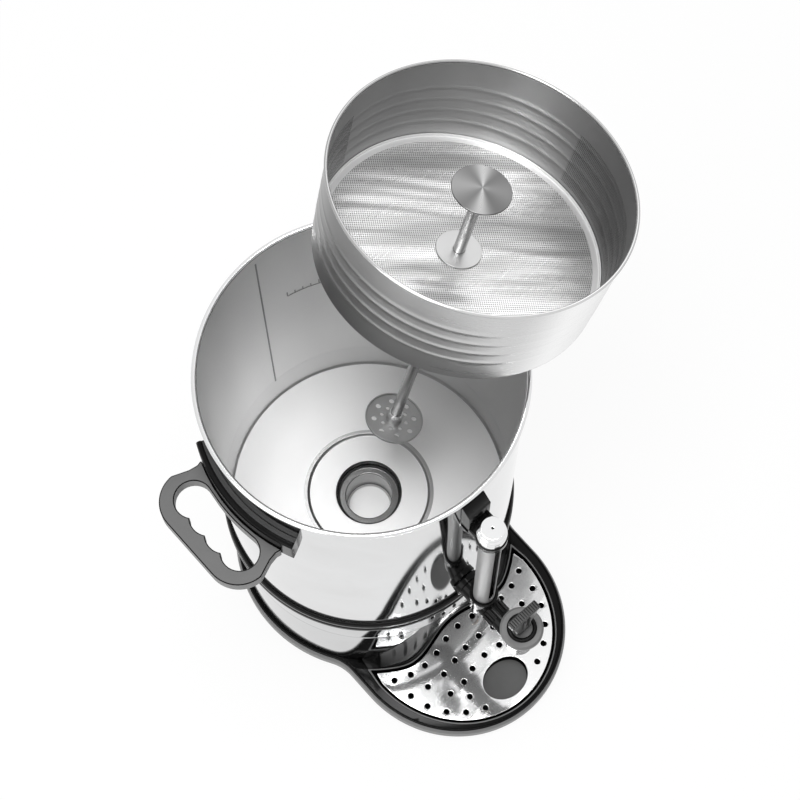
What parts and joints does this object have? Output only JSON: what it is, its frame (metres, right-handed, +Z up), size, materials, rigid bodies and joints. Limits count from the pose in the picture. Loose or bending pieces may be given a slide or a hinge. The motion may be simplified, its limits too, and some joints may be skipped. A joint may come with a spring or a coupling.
{
  "type": "coffee urn",
  "caption": "Percolating coffee urn: steel vessel with side grips, front tap, sight column and drip tray, its filter basket lifted and leaned on the pump stem.",
  "frame": {"origin": "on the vessel's vertical axis, at the table plane that the rubber feet stand on", "axes": "+Z up along the vessel's axis; -Y towards the tap and the drip tray; +X to the right-hand grip as seen from the back, the side the lifted filter leans to"},
  "size_m": [0.4166, 0.3557, 0.6066],
  "materials": {
    "polished_steel": "mirror-polished outside, fine circular brushing inside",
    "satin_steel": "satin",
    "plate_steel": "mirror",
    "chrome": "bright",
    "black_gloss": "glossy moulding",
    "black_satin": "fine matt texture",
    "rubber": "matt",
    "silicone": "satin",
    "fastener_steel": "plain",
    "heater_sheath": "dull",
    "phenolic": "moulded",
    "terminal_white": "moulded",
    "wire_sleeve": "braided sleeve",
    "rocker_gloss": "glossy",
    "lamp_amber": "translucent lens",
    "sight_glass": "clear"
  },
  "bodies": {
    "urn": {"vessel_wall": "polished_steel", "vessel_floor": "satin_steel", "band_ring": "black_gloss", "lower_skirt": "polished_steel", "base_tray": "black_gloss", "front_cowl": "black_gloss", "bottom_cover": "satin_steel", "rubber_feet": "rubber", "cover_screws": "fastener_steel", "grip_left": "black_satin", "grip_right": "black_satin", "grip_mount_left": "black_gloss", "grip_mount_right": "black_gloss", "grip_screws": "fastener_steel", "column_bracket": "black_gloss", "guard_tube": "chrome", "sight_glass": "sight_glass", "column_cap": "chrome", "column_seals": "silicone", "tee_block": "black_gloss", "tap_shank": "fastener_steel", "shank_nut": "fastener_steel", "shank_seals": "silicone", "tap_body": "black_gloss", "tap_bonnet": "black_gloss", "boil_heater": "heater_sheath", "warm_heater": "heater_sheath", "heater_clamp": "fastener_steel", "thermostat": "phenolic", "thermal_cutout": "phenolic", "terminal_block": "terminal_white", "wiring": "wire_sleeve", "switch_housing": "black_satin", "pilot_lamps": "lamp_amber", "cord_gland": "black_satin"},
    "valve": {"lever_pin": "fastener_steel", "valve_stem": "fastener_steel", "seat_cup": "silicone", "tap_spring": "fastener_steel"},
    "lever": {"tap_lever": "black_gloss"},
    "power_switch": {"rocker": "rocker_gloss"},
    "drip_cover": {"drip_plate": "plate_steel"},
    "pump": {"pump_stem": "chrome", "stem_collars": "chrome", "pump_foot": "satin_steel", "spreader": "satin_steel"},
    "basket": {"basket_wall": "satin_steel", "basket_floor": "satin_steel", "basket_hub": "satin_steel"}
  },
  "joints": [
    {"name": "valve_lift", "type": "slide", "parent": "urn", "child": "valve", "axis": [0, 0, 1], "range_m": [0, 0.005], "deforming": ["tap_spring"]},
    {"name": "lever_tilt", "type": "hinge", "parent": "valve", "child": "lever", "pos_m": [0, -0.1885, 0.2502], "axis": [1, 0, 0], "range_deg": [0, 40], "stiffness_Nm_per_rad": 0.05, "springref_deg": -11.46},
    {"name": "rocker_press", "type": "hinge", "parent": "urn", "child": "power_switch", "pos_m": [0.03366, -0.11044, 0.062], "axis": [0.9963, 0.0855, 0], "range_deg": [-16, 0]},
    {"name": "drip_plate_lift", "type": "slide", "parent": "urn", "child": "drip_cover", "axis": [0, -0.16, 0.9871], "range_m": [0, 0.06]},
    {"name": "filter_upright", "type": "hinge", "parent": "urn", "child": "pump", "pos_m": [0, 0, 0.172], "axis": [0.1492, -0.9888, 0], "range_deg": [0, 19.03]},
    {"name": "basket_slide", "type": "slide", "parent": "pump", "child": "basket", "axis": [0.3224, 0.0486, 0.9454], "range_m": [0, 0.055]}
  ],
  "couplings": [
    {"joint": "valve_lift", "follows": "lever_tilt", "m_per_rad": 0.0071}
  ]
}
